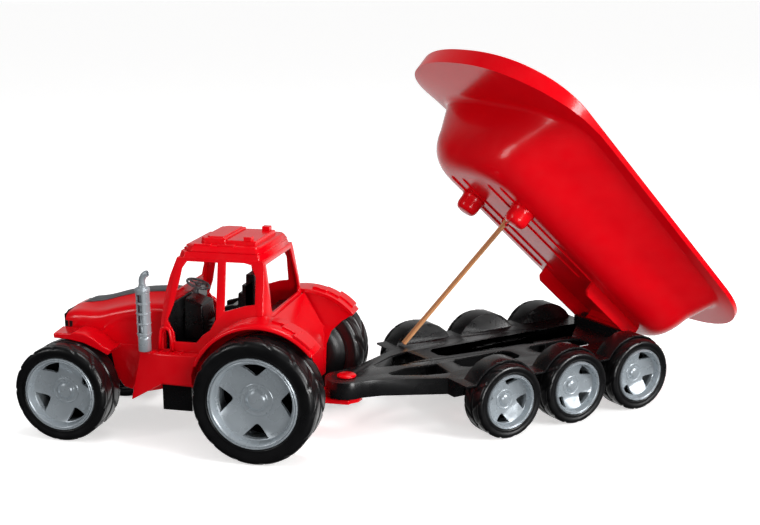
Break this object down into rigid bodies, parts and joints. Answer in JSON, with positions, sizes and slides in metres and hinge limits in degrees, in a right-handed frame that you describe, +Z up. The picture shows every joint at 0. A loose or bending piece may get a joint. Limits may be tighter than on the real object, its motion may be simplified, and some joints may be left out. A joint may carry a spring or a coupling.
{
  "type": "toy tractor with tipping trailer",
  "caption": "Large plastic toy farm tractor hitched to a tipping trailer, with rolling wheels, an open cab and a raised load tub held up by a folding prop stick.",
  "frame": {"origin": "centre of the bounding box on the ground plane the wheels stand on, with the trailer turned as in the rest pose", "axes": "+X from the tractor's nose to its rear, +Y to the tractor's right, +Z up"},
  "size_m": [0.8662, 0.5904, 0.4705],
  "materials": {
    "red_gloss": "glossy injection-moulded red plastic",
    "black_gloss": "glossy black plastic",
    "black_tyre": "semi-gloss black blown plastic tyre",
    "silver_plastic": "silver-grey pearl plastic",
    "grey_plastic": "dark grey satin plastic",
    "steel_rod": "drawn steel rod",
    "wood_stick": "plain varnished wooden stick"
  },
  "bodies": {
    "tractor": {"cab_shell": "red_gloss", "cab_roof": "red_gloss", "cab_floor": "black_gloss", "rear_housing": "red_gloss", "dashboard": "black_gloss", "steering_column": "grey_plastic", "driver_seat": "black_gloss", "hood_shell": "red_gloss", "hood_top_panel": "grey_plastic", "front_grille": "black_gloss", "chassis": "black_gloss", "tow_bar": "red_gloss", "hitch_pin": "red_gloss", "exhaust_stack": "silver_plastic", "front_axle": "steel_rod", "rear_axle": "steel_rod", "front_mudguard_left": "red_gloss", "side_step_left": "red_gloss", "rear_fender_left": "red_gloss", "front_mudguard_right": "red_gloss", "side_step_right": "red_gloss", "rear_fender_right": "red_gloss"},
    "steering_wheel": {"steering_wheel": "grey_plastic"},
    "front_wheel_left": {"front_wheel_left_tyre": "black_tyre", "front_wheel_left_rim": "silver_plastic"},
    "front_wheel_right": {"front_wheel_right_tyre": "black_tyre", "front_wheel_right_rim": "silver_plastic"},
    "rear_wheel_left": {"rear_wheel_left_tyre": "black_tyre", "rear_wheel_left_rim": "silver_plastic"},
    "rear_wheel_right": {"rear_wheel_right_tyre": "black_tyre", "rear_wheel_right_rim": "silver_plastic"},
    "trailer": {"trailer_frame": "black_gloss", "tub_hinge_pin": "steel_rod", "trailer_axle_1": "steel_rod", "trailer_axle_2": "steel_rod", "trailer_axle_3": "steel_rod"},
    "trailer_wheel_1_left": {"trailer_wheel_1_left_tyre": "black_tyre", "trailer_wheel_1_left_rim": "silver_plastic"},
    "trailer_wheel_1_right": {"trailer_wheel_1_right_tyre": "black_tyre", "trailer_wheel_1_right_rim": "silver_plastic"},
    "trailer_wheel_2_left": {"trailer_wheel_2_left_tyre": "black_tyre", "trailer_wheel_2_left_rim": "silver_plastic"},
    "trailer_wheel_2_right": {"trailer_wheel_2_right_tyre": "black_tyre", "trailer_wheel_2_right_rim": "silver_plastic"},
    "trailer_wheel_3_left": {"trailer_wheel_3_left_tyre": "black_tyre", "trailer_wheel_3_left_rim": "silver_plastic"},
    "trailer_wheel_3_right": {"trailer_wheel_3_right_tyre": "black_tyre", "trailer_wheel_3_right_rim": "silver_plastic"},
    "tub": {"tipper_tub": "red_gloss", "prop_pivot_pin": "steel_rod"},
    "prop": {"prop_stick": "wood_stick"}
  },
  "joints": [
    {"name": "steering_wheel_turn", "type": "hinge", "parent": "tractor", "child": "steering_wheel", "pos_m": [-0.23106, -0.16415, 0.181], "axis": [0.342, 0, 0.9397], "continuous": true},
    {"name": "front_wheel_left_spin", "type": "hinge", "parent": "tractor", "child": "front_wheel_left", "pos_m": [-0.37306, -0.24815, 0.06], "axis": [0, 1, 0], "continuous": true},
    {"name": "front_wheel_right_spin", "type": "hinge", "parent": "tractor", "child": "front_wheel_right", "pos_m": [-0.37306, -0.08016, 0.06], "axis": [0, 1, 0], "continuous": true},
    {"name": "rear_wheel_left_spin", "type": "hinge", "parent": "tractor", "child": "rear_wheel_left", "pos_m": [-0.11807, -0.26865, 0.075], "axis": [0, 1, 0], "continuous": true},
    {"name": "rear_wheel_right_spin", "type": "hinge", "parent": "tractor", "child": "rear_wheel_right", "pos_m": [-0.11807, -0.05965, 0.075], "axis": [0, 1, 0], "continuous": true},
    {"name": "hitch_turn", "type": "hinge", "parent": "tractor", "child": "trailer", "pos_m": [-0.04007, -0.16415, 0.073], "axis": [0, 0, 1], "range_deg": [-87, 0]},
    {"name": "trailer_wheel_1_left_spin", "type": "hinge", "parent": "trailer", "child": "trailer_wheel_1_left", "pos_m": [0.14907, -0.12667, 0.047], "axis": [-0.6884, 0.7254, 0], "continuous": true},
    {"name": "trailer_wheel_1_right_spin", "type": "hinge", "parent": "trailer", "child": "trailer_wheel_1_right", "pos_m": [0.00727, 0.02276, 0.047], "axis": [-0.6884, 0.7254, 0], "continuous": true},
    {"name": "trailer_wheel_2_left_spin", "type": "hinge", "parent": "trailer", "child": "trailer_wheel_2_left", "pos_m": [0.22451, -0.05508, 0.047], "axis": [-0.6884, 0.7254, 0], "continuous": true},
    {"name": "trailer_wheel_2_right_spin", "type": "hinge", "parent": "trailer", "child": "trailer_wheel_2_right", "pos_m": [0.08271, 0.09435, 0.047], "axis": [-0.6884, 0.7254, 0], "continuous": true},
    {"name": "trailer_wheel_3_left_spin", "type": "hinge", "parent": "trailer", "child": "trailer_wheel_3_left", "pos_m": [0.29995, 0.01651, 0.047], "axis": [-0.6884, 0.7254, 0], "continuous": true},
    {"name": "trailer_wheel_3_right_spin", "type": "hinge", "parent": "trailer", "child": "trailer_wheel_3_right", "pos_m": [0.15815, 0.16594, 0.047], "axis": [-0.6884, 0.7254, 0], "continuous": true},
    {"name": "tub_tilt", "type": "hinge", "parent": "trailer", "child": "tub", "pos_m": [0.25879, 0.11945, 0.08], "axis": [-0.6884, 0.7254, 0], "range_deg": [-41.2, 0]},
    {"name": "prop_fold", "type": "hinge", "parent": "tub", "child": "prop", "pos_m": [0.12903, 0.02112, 0.23872], "axis": [-0.6259, 0.718, 0.3044], "range_deg": [0, 96.9]}
  ],
  "couplings": [
    {"joint": "prop_fold", "follows": "tub_tilt", "ratio": -2.3496}
  ]
}
